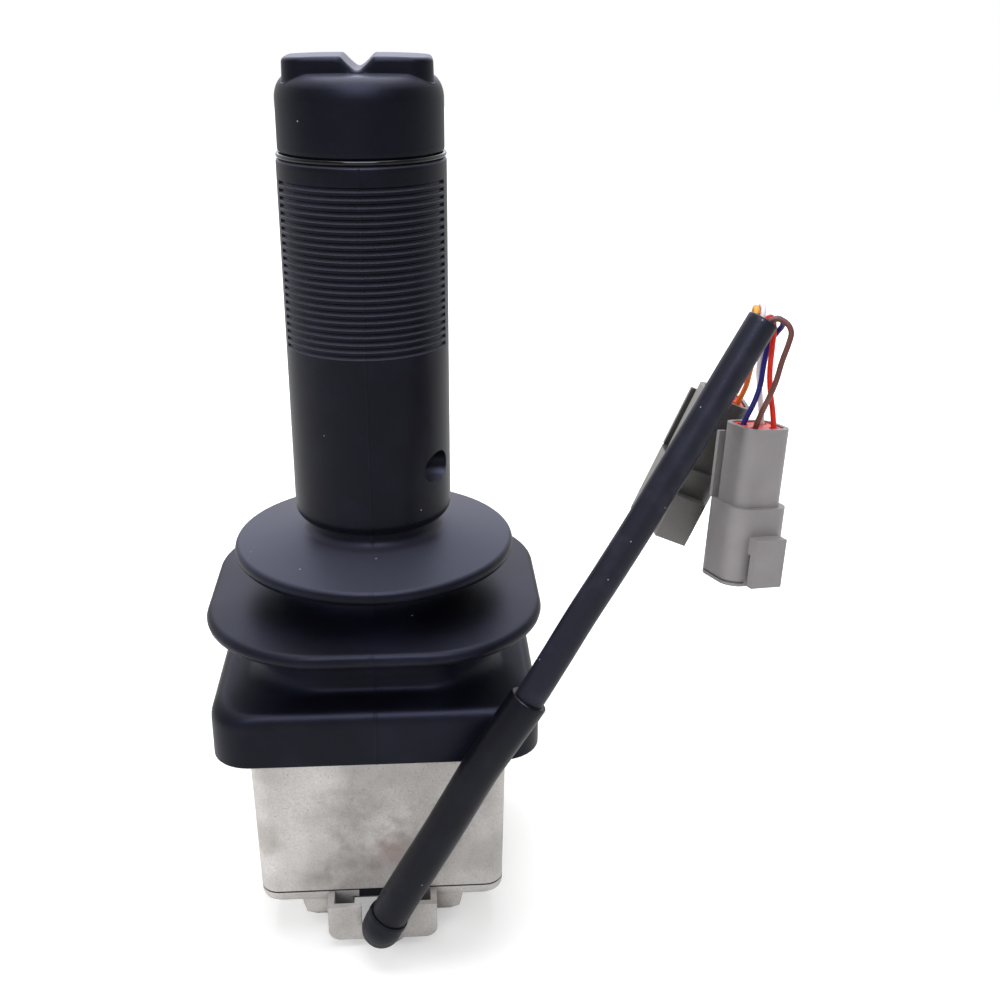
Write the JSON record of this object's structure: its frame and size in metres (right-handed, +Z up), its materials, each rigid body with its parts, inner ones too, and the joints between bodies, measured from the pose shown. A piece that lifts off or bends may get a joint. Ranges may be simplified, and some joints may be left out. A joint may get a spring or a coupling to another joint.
{
  "type": "industrial joystick",
  "caption": "Panel-mounted joystick: cast housing with a flange, rubber bellows boot, upright cylindrical grip with ribbed panels, thumb rocker on top, sleeved cable with sealed connectors.",
  "frame": {"origin": "centre of the four panel bolts, in the plane of the panel under the mounting flange", "axes": "+Z up along the stick, -Y towards the side where the cable leaves, +X to the right of that side, along the stick's axle"},
  "size_m": [0.1729, 0.115, 0.2715],
  "materials": {
    "boot_rubber": "matt moulded rubber",
    "grip_plastic": "fine-grained moulded plastic",
    "cast_aluminium": "as-cast, granular",
    "steel": "zinc-plated sheet",
    "zinc": "zinc-plated, turned",
    "bronze": "sintered bronze",
    "black_plastic": "moulded, glass-filled",
    "board": "lacquered circuit board",
    "plug_grey": "moulded grey plastic",
    "seal_red": "orange-red silicone",
    "red_plastic": "moulded",
    "cord_black": "extruded jacket",
    "wire_blue": "extruded",
    "wire_brown": "extruded",
    "wire_red": "extruded",
    "wire_white": "extruded",
    "wire_orange": "extruded",
    "wire_yellow": "extruded"
  },
  "bodies": {
    "base": {"housing": "cast_aluminium", "pivot_bracket": "steel", "bracket_screws": "zinc", "pivot_bushes": "bronze", "centring_spring": "steel", "sensor_module": "black_plastic", "circuit_board": "board", "board_screws": "zinc", "cover_gasket": "boot_rubber", "bottom_cover": "cast_aluminium", "cover_screws": "zinc", "boot": "boot_rubber", "window_plug": "boot_rubber", "cable_grommet": "boot_rubber", "cable_sleeve": "cord_black", "cable_jacket": "cord_black", "wire_blue": "wire_blue", "wire_brown": "wire_brown", "wire_red": "wire_red", "wire_white": "wire_white", "wire_orange": "wire_orange", "wire_yellow": "wire_yellow", "connector_a_body": "plug_grey", "connector_a_seal": "seal_red", "connector_a_wedge": "black_plastic", "connector_b_body": "plug_grey", "connector_b_seal": "seal_red", "connector_b_wedge": "black_plastic"},
    "stick": {"pivot_axle": "zinc", "axle_clips": "steel", "pivot_hub": "zinc", "shaft_pin": "steel", "stick_shaft": "zinc", "magnet_holder": "black_plastic", "sensor_magnet": "steel", "grip_left": "grip_plastic", "grip_right": "grip_plastic", "grip_screws": "zinc", "bead_ring": "grip_plastic", "switch_carrier": "black_plastic", "rocker_switch": "black_plastic", "rocker_pin": "zinc", "head_cap": "boot_rubber"},
    "rocker": {"thumb_rocker": "boot_rubber"},
    "plunger_left": {"plunger_left": "red_plastic"},
    "plunger_right": {"plunger_right": "red_plastic"}
  },
  "joints": [
    {"name": "stick_tilt", "type": "hinge", "parent": "base", "child": "stick", "pos_m": [0, 0, -0.034], "axis": [1, 0, 0], "range_deg": [-20, 20], "stiffness_Nm_per_rad": 3, "deforming": ["boot", "centring_spring"]},
    {"name": "rocker_tilt", "type": "hinge", "parent": "stick", "child": "rocker", "pos_m": [0, 0, 0.188], "axis": [0, 1, 0], "range_deg": [-8, 8], "stiffness_Nm_per_rad": 0.3},
    {"name": "plunger_left_slide", "type": "slide", "parent": "stick", "child": "plunger_left", "axis": [0, 0, 1], "range_m": [-0.0017, 0.0017]},
    {"name": "plunger_right_slide", "type": "slide", "parent": "stick", "child": "plunger_right", "axis": [0, 0, 1], "range_m": [-0.0017, 0.0017]}
  ],
  "couplings": [
    {"joint": "plunger_left_slide", "follows": "rocker_tilt", "m_per_rad": 0.012},
    {"joint": "plunger_right_slide", "follows": "rocker_tilt", "m_per_rad": -0.012}
  ]
}
